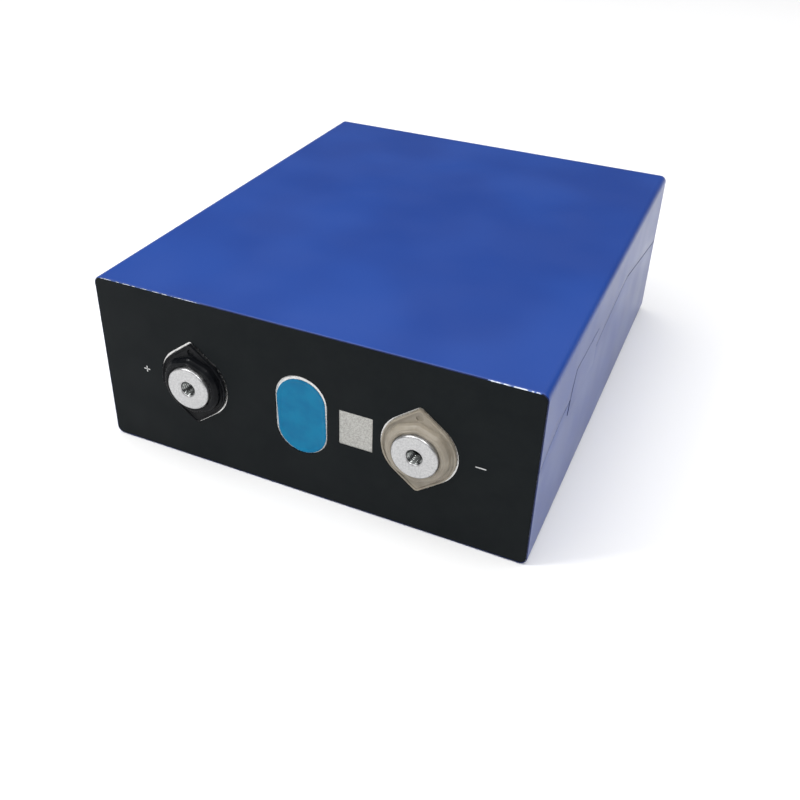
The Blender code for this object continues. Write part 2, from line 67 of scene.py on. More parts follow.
POSITIVE_X = (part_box("positive_terminal")[0][0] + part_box("positive_terminal")[1][0]) / 2
LID_X = (NEGATIVE_X + POSITIVE_X) / 2
LID_METAL_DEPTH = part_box("lid_plate")[0][1] - LID_Y
MM = 0.001

# Wrap film.
WRAP_CORNER = 2.8 * MM
WRAP_CORNER_STEPS = 8
WRAP_FILM = 0.16 * MM
WRAP_LIP = 0.4 * MM
BASE_LIP = 7 * MM
STATION_PITCH = 6 * MM
SWELL_SIZE = 34 * MM
SWELL_DEPTH = 0.04 * MM
SWELL_FADE = 5 * MM
PLEAT_REACH = 15 * MM
PLEAT_PITCH = 2.1 * MM
PLEAT_HEIGHT = 0.14 * MM

# Painted highlight: paler spots on the fold along the lid's upper edge, standing in for the glints of light
# on it.
HIGHLIGHT_END = -30 * MM
CORNER_HIGHLIGHT = (77.5 * MM, 84.5 * MM)

# Overlap seam on the negative side, with the patch stuck over it. The lists hold (depth, height)
# points in millimetres, the height from the floor.
SEAM = [(0, 41.2), (11.5, 44.5), (26.4, 47.3), (36, 47.3), (71, 48.4), (82, 49.9), (127, 53.4), (204, 38.0)]
SEAM_GAP = 0.7 * MM
LOWER_SPOTS = (0.5 * MM, 2 * MM, 5 * MM)
LOWER_PIECES = 5
GAP_START = len(LOWER_SPOTS) + LOWER_PIECES - 1
LOWER_LEVEL = 0.15 * MM
FLAP_LEVEL = 0.07 * MM
GROOVE_LEVEL = 0.155 * MM
PATCH = [(34.5, 41.4), (72.4, 41.4), (74.0, 56.1), (40.2, 57.5), (36.9, 50.4)]
PATCH_LEVEL = 0.005 * MM
PATCH_EDGE = 0.25 * MM

# Lid film and its windows.
LID_FILM = 0.2 * MM
FILM_CORNER = 2.4 * MM
TERMINAL_WINDOW = (14.5 * MM, 17.9 * MM)
POSITIVE_WINDOW_SHIFT = (0.1 * MM, 0.25 * MM)
VENT_WINDOW = (20.8 * MM, 33.4 * MM)
CODE_WINDOW = (13.0 * MM, 14.6 * MM)
CODE_X = LID_X + 21.6 * MM
PLUS_X = -67.6 * MM
MINUS_X = 67.4 * MM
MARK_Z = 0.3 * MM
MARK_STROKE = 0.46 * MM
PLUS_LENGTH = 2.7 * MM
MINUS_LENGTH = 3.8 * MM
INK = 0.03 * MM

# Vent sticker.
STICKER = (19.4 * MM, 31.5 * MM)
STICKER_DROP = 0.65 * MM
STICKER_TURN = math.radians(1.5)
SEAT_INSET = 1.15 * MM
STICKER_SAG = 0.14 * MM
RIM = (20.5 * MM, 33.0 * MM)
RIM_WIDTH = 0.34 * MM
RIM_HEIGHT = 0.16 * MM

# Terminals.
ROUND_STEPS = 96
HUB_R = 6.2 * MM
HUB_END = 4.3 * MM
HEAD_UNDERSIDE = FACE_DEPTH + 3.6 * MM
TURNING_PITCH = 0.26 * MM
TURNING_DEPTH = 0.012 * MM
THREAD_CREST = 2.5 * MM
THREAD_ROOT = 3.0 * MM
THREAD_PITCH = 1.0 * MM
THREAD_LENGTH = 6.0 * MM
THREAD_ROWS = 10

# Moulded frames round the terminals.
FRAME_R = 13.9 * MM
FRAME_TIP = 17.2 * MM
FRAME_TIP_R = 1.6 * MM
BORE_R = 6.35 * MM
SEAT_R = 8.85 * MM
DIMPLE_OFFSET = 13.7 * MM


# Outlines.


def arc(centre, radius, start, end, steps):
    """Points on an arc between two angles, both ends included."""
    angles = [start + (end - start) * i / steps for i in range(steps + 1)]
    return [(centre[0] + radius * math.cos(a), centre[1] + radius * math.sin(a)) for a in angles]


def circle(radius, steps=ROUND_STEPS):
    return arc((0, 0), radius, 0, 2 * math.pi * (1 - 1 / steps), steps - 1)


def rounded_rectangle(size, corner, steps=8):
    half_x, half_z = size[0] / 2 - corner, size[1] / 2 - corner
    corners = ((half_x, half_z), (-half_x, half_z), (-half_x, -half_z), (half_x, -half_z))
    points = []
    for turn, centre in enumerate(corners):
        start = turn * math.pi / 2
        points += arc(centre, corner, start, start + math.pi / 2, steps)
    return points


def obround(size, steps=32):
    """An upright slot shape with full round ends."""
    half_gap = (size[1] - size[0]) / 2
    upper = arc((0, half_gap), size[0] / 2, 0, math.pi, steps)
    lower = arc((0, -half_gap), size[0] / 2, math.pi, 2 * math.pi, steps)
    return upper + lower


def pointed_round(radius, tip, tip_radius=FRAME_TIP_R, steps=ROUND_STEPS):
    """A circle drawn out to a rounded point at its top and bottom."""
    tip_centre = tip - tip_radius
    shoulder = math.asin((radius - tip_radius) / tip_centre)
    tip_steps = 11
    side_steps = steps // 2 - tip_steps - 2
    points = []
    for side, sign in ((0, 1), (math.pi, -1)):
        points += arc((0, 0), radius, side - shoulder, side + shoulder, side_steps)
        end = side + math.pi - shoulder
        points += arc((0, sign * tip_centre), tip_radius, side + shoulder, end, tip_steps)
    return points


def frame_outline(inset):
    """The moulded frame's pointed outline, moved in by a distance."""
    tip_r = max(FRAME_TIP_R - inset, 0.4 * MM)
    return pointed_round(FRAME_R - inset, FRAME_TIP - inset, tip_r)


def frame_circle(radius):
    """A circle whose points match frame_outline's, one for one."""
    points = [Vector(point).normalized() * radius for point in frame_outline(0)]
    return [(point.x, point.y) for point in points]


def turned_by(outline, angle, shift=(0, 0)):
    cos_angle, sin_angle = math.cos(angle), math.sin(angle)
    turned = [(x * cos_angle - z * sin_angle, x * sin_angle + z * cos_angle) for x, z in outline]
    return [(x + shift[0], z + shift[1]) for x, z in turned]


# Meshes.


def add_mesh(name, work, materials, sharp=35):
    """Turns a bmesh into a smooth-shaded object with its sharp edges and materials, linked to the scene."""
    bmesh.ops.recalc_face_normals(work, faces=work.faces)
    mesh = bpy.data.meshes.new(name)
    work.to_mesh(mesh)
    work.free()
    mesh.shade_smooth()
    mesh.set_sharp_from_angle(angle=math.radians(sharp))
    for material in materials:
        mesh.materials.append(material)
    made = bpy.data.objects.new(name, mesh)
    bpy.context.scene.collection.objects.link(made)
    return made


def loft(name, rings, materials, closed=False, centre=(0, MID_Z), sharp=35, slots=None):
    """A body over rings of (x, depth, z) points. Its ends are capped, or joined if closed.
    slots(ring, point) gives the material slot of each face."""
    work = bmesh.new()
    rows = []
    for ring in rings:
        places = [(x + centre[0], LID_Y + depth, z + centre[1]) for x, depth, z in ring]
        rows.append([work.verts.new(place) for place in places])
    pairs = list(zip(rows, rows[1:]))
    if closed:
        pairs.append((rows[-1], rows[0]))
    else:
        work.faces.new(rows[0])
        work.faces.new(rows[-1])
    for row, (first, second) in enumerate(pairs):
        for i, point in enumerate(first):
            j = (i + 1) % len(first)
            face = work.faces.new((point, first[j], second[j], second[i]))
            if slots:
                face.material_index = slots(row, i)
    return add_mesh(name, work, materials, sharp)


def level(outline, depth):
    return [(x, depth, z) for x, z in outline]


def sheet_with_windows(name, outline, windows, start, end, material, edge):
    """A flat sheet with holes and slightly rounded edges, made from a filled 2-D curve."""
    curve = bpy.data.curves.new(name, "CURVE")
    curve.dimensions = "2D"
    curve.fill_mode = "BOTH"
    curve.extrude = (end - start) / 2 - edge
    curve.bevel_depth = edge
    curve.bevel_resolution = 1
    curve.offset = -edge
    for points in [outline] + windows:
        spline = curve.splines.new("POLY")
        spline.points.add(len(points) - 1)
        for point, (x, z) in zip(spline.points, points):
            point.co = (x, z, 0, 1)
        spline.use_cyclic_u = True
    drawn = bpy.data.objects.new(name + "_curve", curve)
    bpy.context.scene.collection.objects.link(drawn)
    mesh = bpy.data.meshes.new_from_object(drawn)
    bpy.data.objects.remove(drawn)
    middle = LID_Y + (start + end) / 2
    mesh.transform(Matrix.Translation((0, middle, MID_Z)) @ Matrix.Rotation(math.pi / 2, 4, "X"))
    mesh.name = name
    mesh.materials.clear()
    mesh.materials.append(material)
    made = bpy.data.objects.new(name, mesh)
    bpy.context.scene.collection.objects.link(made)
    return made


# Materials.


class Surface:
    """A Principled material whose colour, roughness and relief come from noise in object space."""

    def __init__(self, name, roughness=0.5, metallic=0.0, specular=0.5):
        self.material = bpy.data.materials.new(name)
        self.material.use_nodes = True
        self.nodes = self.material.node_tree.nodes
        self.links = self.material.node_tree.links
        self.shader = self.nodes["Principled BSDF"]
        self.shader.inputs["Roughness"].default_value = roughness
        self.shader.inputs["Metallic"].default_value = metallic
        self.shader.inputs["Specular IOR Level"].default_value = specular
        self.place = self.nodes.new("ShaderNodeTexCoord").outputs["Object"]

    def stretched(self, scale):
        """Object coordinates stretched along some axes."""
        mapping = self.nodes.new("ShaderNodeMapping")
        mapping.inputs["Scale"].default_value = scale
        self.links.new(self.place, mapping.inputs["Vector"])
        return mapping.outputs["Vector"]

    def noise(self, size, detail=2.0, place=None, rough=0.5):
        """Noise whose features are about this size."""
        node = self.nodes.new("ShaderNodeTexNoise")
        node.inputs["Scale"].default_value = 1 / size
        node.inputs["Detail"].default_value = detail
        node.inputs["Roughness"].default_value = rough
        self.links.new(place or self.place, node.inputs["Vector"])
        return node.outputs["Fac"]

    def colours(self, factor, dark, light, low=0.3, high=0.7):
        """Base colour between two colours, by a factor."""
        ramp = self.nodes.new("ShaderNodeValToRGB")
        ramp.color_ramp.interpolation = "EASE"
        ramp.color_ramp.elements[0].position = low
        ramp.color_ramp.elements[0].color = (*dark, 1)
        ramp.color_ramp.elements[1].position = high
        ramp.color_ramp.elements[1].color = (*light, 1)
        self.links.new(factor, ramp.inputs["Fac"])
        self.links.new(ramp.outputs["Color"], self.shader.inputs["Base Color"])
        return self

    def roughness(self, factor, low, high):
        spread = self.nodes.new("ShaderNodeMapRange")
        spread.interpolation_type = "SMOOTHSTEP"
        spread.inputs["From Min"].default_value = 0.3
        spread.inputs["From Max"].default_value = 0.7
        spread.inputs["To Min"].default_value = low
        spread.inputs["To Max"].default_value = high
        self.links.new(factor, spread.inputs["Value"])
        self.links.new(spread.outputs["Result"], self.shader.inputs["Roughness"])
        return self

    def relief(self, height, distance, strength=1.0):
        """Bump whose full height is a real distance."""
        bump = self.nodes.new("ShaderNodeBump")
        bump.inputs["Distance"].default_value = distance
        bump.inputs["Strength"].default_value = strength
        self.links.new(height, bump.inputs["Height"])
        self.links.new(bump.outputs["Normal"], self.shader.inputs["Normal"])
        return self


def make_materials():
    made = {}

    blue = Surface("blue_film", specular=0.5)
    blue.colours(blue.noise(45 * MM, 1), (0.0066, 0.041, 0.236), (0.0092, 0.051, 0.272))
    blue.roughness(blue.noise(28 * MM, 1), 0.28, 0.33)
    blue.relief(blue.noise(3.5 * MM, 1), 0.008 * MM)
    made["blue_film"] = blue

    # Painted shadow: a dark, dull navy for the seam's gap and the patch's edges, standing in for the shadow
    # under the film edges.
    line = Surface("seam_painted_shadow", roughness=1.0, specular=0.0)
    line.colours(line.noise(3 * MM, 2), (0.003, 0.006, 0.03), (0.008, 0.016, 0.07))
    made["seam_painted_shadow"] = line

    # Painted highlight: pale blue-grey spots in this colour stand in for glints of light on the fold along
    # the lid's upper edge.
    fold_highlight = Surface("fold_painted_highlight", specular=0.5)
    fold_highlight.colours(fold_highlight.noise(1.6 * MM, 3), (0.05, 0.12, 0.36), (0.72, 0.76, 0.84), 0.42, 0.58)
    fold_highlight.roughness(fold_highlight.noise(1 * MM, 2), 0.15, 0.30)
    made["fold_painted_highlight"] = fold_highlight

    # Painted shade: a darker, duller copy of the blue film for the lip's fold, standing in for the shade on
    # the fold.
    fold_shade = Surface("fold_painted_shade", specular=0.2)
    fold_shade.colours(fold_shade.noise(4 * MM, 3), (0.004, 0.010, 0.055), (0.008, 0.018, 0.090))
    fold_shade.roughness(fold_shade.noise(3 * MM, 2), 0.35, 0.50)
    made["fold_painted_shade"] = fold_shade

    black = Surface("black_film", specular=0.07)
    black.colours(black.noise(6 * MM, 4), (0.0048, 0.0068, 0.0080), (0.0064, 0.0086, 0.0096))
    black.roughness(black.noise(12 * MM, 3), 0.42, 0.55)
    black.relief(black.noise(0.45 * MM, 2), 0.006 * MM)
    made["black_film"] = black

    ink = Surface("mark_ink", roughness=0.5)
    ink.colours(ink.noise(0.5 * MM, 2), (0.42, 0.43, 0.43), (0.60, 0.60, 0.60))
    made["mark_ink"] = ink

    vent = Surface("vent_film", specular=0.12)
    vent.colours(vent.noise(9 * MM, 3), (0.001, 0.130, 0.275), (0.002, 0.172, 0.328))
    vent.roughness(vent.noise(4 * MM, 3), 0.28, 0.42)
    vent.relief(vent.noise(1.1 * MM, 3), 0.014 * MM)
    made["vent_film"] = vent

    lid = Surface("bare_lid", metallic=1.0)
    lid.colours(lid.noise(0.7 * MM, 3), (0.50, 0.495, 0.485), (0.64, 0.635, 0.625))
    lid.roughness(lid.noise(1.5 * MM, 3), 0.20, 0.32)
    lid.relief(lid.noise(0.16 * MM, 2, lid.stretched((1, 1, 0.15))), 0.004 * MM)
    made["bare_lid"] = lid

    frosted = Surface("frosted_metal", metallic=1.0)
    frosted.colours(frosted.noise(0.55 * MM, 2), (0.35, 0.345, 0.325), (0.50, 0.495, 0.47))
    frosted.roughness(frosted.noise(0.8 * MM, 3), 0.45, 0.60)
    frosted.relief(frosted.noise(0.16 * MM, 2), 0.004 * MM)
    made["frosted_metal"] = frosted

    post = Surface("turned_aluminium", metallic=1.0)
    post.colours(post.noise(0.6 * MM, 4), (0.42, 0.42, 0.425), (0.54, 0.54, 0.54))
    post.roughness(post.noise(0.9 * MM, 4), 0.30, 0.48)
    post.relief(post.noise(0.12 * MM, 3), 0.004 * MM)
    made["turned_aluminium"] = post

    # Painted shade: a darker copy of the turned aluminium for the thread, standing in for the shade inside
    # the hole.
    thread = Surface("thread_painted_shade", metallic=1.0)
    thread.colours(thread.noise(0.5 * MM, 3), (0.16, 0.17, 0.165), (0.34, 0.35, 0.345))
    thread.roughness(thread.noise(0.4 * MM, 3), 0.14, 0.26)
    thread.relief(thread.noise(0.3 * MM, 2), 0.010 * MM)
    made["thread_painted_shade"] = thread

    aluminium = Surface("aluminium", metallic=1.0)
    aluminium.colours(aluminium.noise(5 * MM, 4), (0.70, 0.70, 0.71), (0.84, 0.84, 0.84))
    aluminium.roughness(aluminium.noise(2 * MM, 3), 0.28, 0.42)
    aluminium.relief(aluminium.noise(0.3 * MM, 2, aluminium.stretched((1, 0.05, 1))), 0.003 * MM)
    made["aluminium"] = aluminium

    copper = Surface("copper", metallic=1.0)
    copper.colours(copper.noise(6 * MM, 4), (0.62, 0.28, 0.16), (0.80, 0.42, 0.28))
    copper.roughness(copper.noise(3 * MM, 3), 0.28, 0.45)
    copper.relief(copper.noise(0.3 * MM, 2), 0.003 * MM)
    made["copper"] = copper

    dark = Surface("black_plastic", specular=0.09)
    dark.colours(dark.noise(4 * MM, 3), (0.0040, 0.0046, 0.0058), (0.0070, 0.0076, 0.0090))
    dark.roughness(dark.noise(3 * MM, 3), 0.20, 0.32)
    dark.relief(dark.noise(0.5 * MM, 2), 0.004 * MM)
    made["black_plastic"] = dark

    natural = Surface("natural_plastic", specular=0.45)
    natural.colours(natural.noise(5 * MM, 4), (0.245, 0.215, 0.170), (0.315, 0.280, 0.225))
    natural.roughness(natural.noise(2.5 * MM, 3), 0.34, 0.48)
    natural.relief(natural.noise(0.6 * MM, 2), 0.006 * MM)
    natural.shader.inputs["Subsurface Weight"].default_value = 0.10
    natural.shader.inputs["Subsurface Radius"].default_value = (1.0, 0.8, 0.6)
    natural.shader.inputs["Subsurface Scale"].default_value = 1.2 * MM
    made["natural_plastic"] = natural

    rubber = Surface("seal_rubber", specular=0.3)
    rubber.colours(rubber.noise(2 * MM, 3), (0.018, 0.018, 0.019), (0.032, 0.032, 0.033))
    rubber.roughness(rubber.noise(2 * MM, 3), 0.6, 0.8)
    made["seal_rubber"] = rubber

    cathode = Surface("cathode_coating", specular=0.3)
    cathode.colours(cathode.noise(0.4 * MM, 4), (0.022, 0.022, 0.024), (0.045, 0.045, 0.048))
    cathode.roughness(cathode.noise(1 * MM, 3), 0.7, 0.9)
    made["cathode_coating"] = cathode

    anode = Surface("anode_coating", specular=0.35)
    anode.colours(anode.noise(0.4 * MM, 4), (0.045, 0.043, 0.041), (0.080, 0.077, 0.073))
    anode.roughness(anode.noise(1 * MM, 3), 0.6, 0.8)
    made["anode_coating"] = anode

    separator = Surface("separator", specular=0.4)
    separator.colours(separator.noise(8 * MM, 3), (0.78, 0.78, 0.77), (0.88, 0.88, 0.87))
    separator.roughness(separator.noise(3 * MM, 3), 0.45, 0.65)
    made["separator"] = separator

    tape = Surface("blue_tape", specular=0.4)
    tape.colours(tape.noise(3 * MM, 3), (0.04, 0.17, 0.40), (0.06, 0.23, 0.50))
    tape.roughness(tape.noise(2 * MM, 3), 0.4, 0.6)
    made["blue_tape"] = tape

    bag = Surface("bag_film", specular=0.5)
    bag.colours(bag.noise(20 * MM, 3), (0.48, 0.60, 0.66), (0.60, 0.71, 0.76))
    bag.roughness(bag.noise(10 * MM, 3), 0.25, 0.40)
    bag.shader.inputs["Alpha"].default_value = 0.6
    made["bag_film"] = bag

    return {name: surface.material for name, surface in made.items()}


# Wrap film.


def fade(distance, reach):
    """0 at no distance, rising smoothly to 1 at the reach."""
    part = min(max(distance / reach, 0), 1)
    return part * part * (3 - 2 * part)


def along(points, position):
    """Height of a line of (depth, height) points at a position."""
    for (start, low), (end, high) in zip(points, points[1:]):
        if position <= end:
            return low + (high - low) * (position - start) / (end - start)
    return points[-1][1]


def swell(point, room):
    """How far the film sags in at a point, fading out where there is no room."""
    wave = 0.5 + 0.5 * noise.noise(Vector(point) / SWELL_SIZE)
    return SWELL_DEPTH * wave * fade(room, SWELL_FADE)


def side_spots(half, pieces=12):
    """Places along a straight side between its corners, closer together near the ends."""
    ends = [0.5 * MM, 1.6 * MM]
    inner = half - 4 * MM
    middle = [-inner + 2 * inner * i / pieces for i in range(pieces + 1)]
    return [-half + e for e in ends] + middle + [half - e for e in reversed(ends)]


def seam_side(depth, amount):
    """(inward offset, height) points up the negative narrow side, with the flap's edge and its gap."""
    bottom, top = -HALF_THICKNESS + WRAP_CORNER, HALF_THICKNESS - WRAP_CORNER
    edge = along(SEAM, depth / MM) * MM - MID_Z
    points = []
    for rise in LOWER_SPOTS:
        points.append((LOWER_LEVEL * fade(rise, 5 * MM), bottom + rise))
    start, end = bottom + LOWER_SPOTS[-1], edge - SEAM_GAP
    points += [(LOWER_LEVEL, start + (end - start) * i / LOWER_PIECES) for i in range(1, LOWER_PIECES + 1)]
    points += [(GROOVE_LEVEL, end + 0.02 * MM), (GROOVE_LEVEL, edge - 0.01 * MM)]
    points += [(FLAP_LEVEL + 0.02 * MM, edge), (FLAP_LEVEL, edge + 0.05 * MM)]
    start, end = edge + 0.05 * MM, top - 5 * MM
    points += [(FLAP_LEVEL, start + (end - start) * i / 3) for i in range(1, 4)]
    for drop in reversed(LOWER_SPOTS[:2]):
        points.append((FLAP_LEVEL * fade(drop, 5 * MM), top - drop))
    return [(offset * amount, z) for offset, z in points]


def wrap_ring(inset, depth, amount):
    """The wrap's section at one depth, moved in by an inset. amount is 0 where the film lies flat."""
    corner = max(WRAP_CORNER - inset, 0.3 * MM)
    half_x, half_z = HALF_WIDTH - inset - corner, HALF_THICKNESS - inset - corner
    points = []

    def sag(x, z, room):
        return amount * swell((x, depth, z), room)

    points += arc((half_x, half_z), corner, 0, math.pi / 2, WRAP_CORNER_STEPS)
    for x in reversed(side_spots(half_x)):
        points.append((x, HALF_THICKNESS - inset - sag(x, 1, half_x - abs(x))))
    points += arc((-half_x, half_z), corner, math.pi / 2, math.pi, WRAP_CORNER_STEPS)
    for z in reversed(side_spots(half_z)):
        points.append((-(HALF_WIDTH - inset - 0.4 * sag(-1, z, half_z - abs(z))), z))
    points += arc((-half_x, -half_z), corner, math.pi, 1.5 * math.pi, WRAP_CORNER_STEPS)
    for x in side_spots(half_x):
        points.append((x, -(HALF_THICKNESS - inset)))
    points += arc((half_x, -half_z), corner, 1.5 * math.pi, 2 * math.pi, WRAP_CORNER_STEPS)
    for offset, z in seam_side(depth, amount):
        points.append((HALF_WIDTH - inset - offset, z * half_z / (HALF_THICKNESS - WRAP_CORNER)))
    return [(x, depth, z) for x, z in points]


def pleated(ring, strength):
    """The lip's ring with small folds by its corners, which stand forward of the lid film."""
    raised = []
    for x, depth, z in ring:
        to_corner = math.hypot(HALF_WIDTH - abs(x), HALF_THICKNESS - abs(z))
        run = (HALF_WIDTH - abs(x)) - (HALF_THICKNESS - abs(z))
        stray = 3 * noise.noise(Vector((x, z, 0)) / (5 * MM))
        fold = 0.5 + 0.5 * math.sin(2 * math.pi * run / PLEAT_PITCH + stray)
        rise = PLEAT_HEIGHT * strength * fold * (1 - fade(to_corner, PLEAT_REACH))
        raised.append((x, depth - rise, z))
    return raised


def make_wrap(materials):
    """Blue sleeve shrunk on the case, with its overlap seam on the negative narrow side."""
    end = WRAP_LENGTH
    stations = round((end - 8 * MM) / STATION_PITCH)
    depths = [4 * MM + (end - 8 * MM) * i / stations for i in range(stations + 1)]
    lip = [
        pleated(wrap_ring(WRAP_LIP, 0.03 * MM, 0), 0.3),
        pleated(wrap_ring(WRAP_LIP - 0.05 * MM, 0, 0), 0.6),
        pleated(wrap_ring(0.28 * MM, 0.01 * MM, 0), 1.0),
        pleated(wrap_ring(0.16 * MM, 0.10 * MM, 0), 0.8),
        pleated(wrap_ring(0.07 * MM, 0.24 * MM, 0), 0.4),
        wrap_ring(0.015 * MM, 0.46 * MM, 0),
    ]
    walls = [wrap_ring(0, 0.8 * MM, 0.2), wrap_ring(0, 1.6 * MM, 0.6)]
    walls += [wrap_ring(0, depth, 1) for depth in depths]
    walls += [wrap_ring(0, end - 1.6 * MM, 0.6), wrap_ring(0.01 * MM, end - 0.32 * MM, 0)]
    base_and_inside = [
        wrap_ring(0.07 * MM, end - 0.12 * MM, 0),
        wrap_ring(0.20 * MM, end - 0.02 * MM, 0),
        wrap_ring(0.40 * MM, end, 0),
        wrap_ring(BASE_LIP, end, 0),
        wrap_ring(BASE_LIP, end - WRAP_FILM, 0),
        wrap_ring(0.25 * MM, end - WRAP_FILM, 0),
        wrap_ring(0.25 * MM, 0.22 * MM, 0),
        wrap_ring(WRAP_LIP, 0.17 * MM, 0),
    ]
    rings = lip + walls + base_and_inside
    first_wall, last_wall = len(lip) - 1, len(lip) + len(walls) - 1
    groove = len(rings[0]) - len(seam_side(0, 1)) + GAP_START

    def slots(row, point):
        """Painted shadow along the seam's gap, a painted highlight on parts of the upper fold, and painted
        shade on the rest of the lip's fold."""
        # Painted shadow in the seam's gap.
        if first_wall <= row <= last_wall and groove <= point <= groove + 2:
            return 1
        x, _, z = rings[row][point]
        on_top = z > HALF_THICKNESS - WRAP_CORNER
        # Painted highlight on the upper fold, in spots along its left part and near the right corner.
        if on_top and row == 2 and x < HIGHLIGHT_END:
            return 2
        if on_top and 1 <= row <= 3 and CORNER_HIGHLIGHT[0] < x < CORNER_HIGHLIGHT[1]:
            return 2
        # Painted shade on the rest of the lip's fold.
        return 3 if row < first_wall - 1 else 0

    names = ("blue_film", "seam_painted_shadow", "fold_painted_highlight", "fold_painted_shade")
    film = [materials[name] for name in names]
    wrap = loft("blue_wrap", rings, film, closed=True, slots=slots, sharp=50)
    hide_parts("wrap_film")
    return wrap


def make_patch(materials):
    """Small film patch over the seam, with a painted shadow line along its upper and lid-side edges."""
    x_top = HALF_WIDTH - PATCH_LEVEL
    x_base = HALF_WIDTH - LOWER_LEVEL
    centre = Vector((sum(d for d, z in PATCH) / len(PATCH), sum(z for d, z in PATCH) / len(PATCH)))

    def shrunk(amount):
        return [(Vector(p) + (centre - Vector(p)).normalized() * amount) * MM for p in PATCH]

    def ring(points, x):
        return [(x, d, z - MID_Z) for d, z in points]

    rings = [
        ring(shrunk(0), x_base),
        ring(shrunk(0), x_top - 0.02 * MM),
        ring(shrunk(PATCH_EDGE / MM), x_top),
    ]

    def slots(row, point):
        # Painted shadow along the patch's upper and lid-side edges.
        return 1 if point in (2, 3, 4) else 0

    film = [materials["blue_film"], materials["seam_painted_shadow"]]
    patch = loft("seam_patch", rings, film, slots=slots, sharp=10)
    return patch


# Lid.


def make_lid_film(materials):
    size = (2 * (HALF_WIDTH - WRAP_LIP - 0.05 * MM), 2 * (HALF_THICKNESS - WRAP_LIP - 0.05 * MM))
    shift_x, shift_z = POSITIVE_WINDOW_SHIFT
    places = ((POSITIVE_X + shift_x, shift_z), (NEGATIVE_X, 0))
    windows = [turned_by(pointed_round(*TERMINAL_WINDOW), 0, place) for place in places]
    windows.append(turned_by(obround(VENT_WINDOW), 0, (LID_X, 0)))
    windows.append(turned_by(rounded_rectangle(CODE_WINDOW, 0.3 * MM, 4), 0, (CODE_X, 0)))
    outline = rounded_rectangle(size, FILM_CORNER)
    black = materials["black_film"]
    film = sheet_with_windows("black_lid_film", outline, windows, 0, LID_FILM, black, 0.04 * MM)
    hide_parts("lid_film")
    return film


def make_mark(name, strokes, x, materials):
    """A printed polarity mark: crossed or single strokes of thin ink."""
    work = bmesh.new()
    for width, height in strokes:
        outline = rounded_rectangle((width, height), 0.12 * MM, 3)
        rows = []
        for depth in (-0.002 * MM, -INK):
            row = [work.verts.new((x + px, LID_Y + depth, MID_Z + MARK_Z + pz)) for px, pz in outline]
            rows.append(row)
            work.faces.new(row)
        for i, point in enumerate(rows[0]):
            j = (i + 1) % len(outline)
            work.faces.new((point, rows[0][j], rows[1][j], rows[1][i]))
    mark = add_mesh(name, work, [materials["mark_ink"]])
    return mark


def make_vent_sticker(materials):
    """Thin film stuck over the vent. It dips into the seat, and its edge lifts a little."""

    def ring(inset, depth, ripple=0.0):
        outline = obround((STICKER[0] - 2 * inset, STICKER[1] - 2 * inset))
        placed = turned_by(outline, STICKER_TURN, (LID_X, -STICKER_DROP))
        return [(x, depth + ripple * noise.noise(Vector((x, z, 0)) / (2.6 * MM)), z) for x, z in placed]

    top = 0.02 * MM
    rings = [
        ring(0, LID_METAL_DEPTH - 0.03 * MM),
        ring(0, top + 0.03 * MM),
        ring(0.06 * MM, top),
        ring(0.30 * MM, top),
        ring(SEAT_INSET - 0.25 * MM, top + 0.01 * MM),
        ring(SEAT_INSET, top + 0.05 * MM),
        ring(SEAT_INSET + 0.25 * MM, top + STICKER_SAG * 0.9, 0.01 * MM),
        ring(SEAT_INSET + 0.9 * MM, top + STICKER_SAG, 0.03 * MM),
        ring(3.6 * MM, top + STICKER_SAG, 0.04 * MM),
        ring(5.4 * MM, top + STICKER_SAG, 0.04 * MM),
        ring(7.4 * MM, top + STICKER_SAG, 0.04 * MM),
        ring(9.2 * MM, top + STICKER_SAG, 0.04 * MM),
    ]
    sticker = loft("vent_sticker", rings, [materials["vent_film"]])
    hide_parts("vent_film")
    return sticker


def make_vent_rim(materials):
    """Raised bead stamped in the lid round the vent."""

    def ring(inset, depth):
        outline = obround((RIM[0] - 2 * inset, RIM[1] - 2 * inset))
        return level(turned_by(outline, 0, (LID_X, 0)), depth)

    base = LID_METAL_DEPTH - 0.01 * MM
    crest = base - RIM_HEIGHT
    rings = [
        ring(0, base),
        ring(RIM_WIDTH * 0.25, crest + 0.02 * MM),
        ring(RIM_WIDTH * 0.5, crest),
        ring(RIM_WIDTH * 0.75, crest + 0.02 * MM),
        ring(RIM_WIDTH, base),
    ]
    rim = loft("vent_rim", rings, [materials["bare_lid"]], closed=True)
    return rim


def make_code_field(materials):
    """Frosted square on the lid metal, seen through the small window of the lid film."""
    outline = rounded_rectangle((CODE_WINDOW[0] + 1 * MM, CODE_WINDOW[1] + 1 * MM), 0.3 * MM, 4)
    depths = (LID_METAL_DEPTH, LID_METAL_DEPTH - 0.03 * MM)
    rings = [level(outline, depth) for depth in depths]
    field = loft("code_field", rings, [materials["frosted_metal"]], centre=(CODE_X, MID_Z))
    return field


# Terminals.


def thread_rows(start):
    """Rings of an internal thread that begins at a depth."""
    rows = []
    count = round(THREAD_LENGTH / THREAD_PITCH * THREAD_ROWS)
    for row in range(count + 1):
        depth = start + THREAD_LENGTH * row / count
        ends = min(row, count - row) / THREAD_ROWS
        ring = []
        for i in range(ROUND_STEPS):
            angle = 2 * math.pi * i / ROUND_STEPS
            phase = (depth - start) / THREAD_PITCH - i / ROUND_STEPS
            tooth = abs(2 * (phase % 1) - 1)
            tooth = min(max(1.25 * tooth - 0.125, 0), 1)
            radius = THREAD_ROOT - (THREAD_ROOT - THREAD_CREST) * tooth * fade(ends, 1)
            ring.append((radius * math.cos(angle), depth, radius * math.sin(angle)))
        rows.append(ring)
    return rows


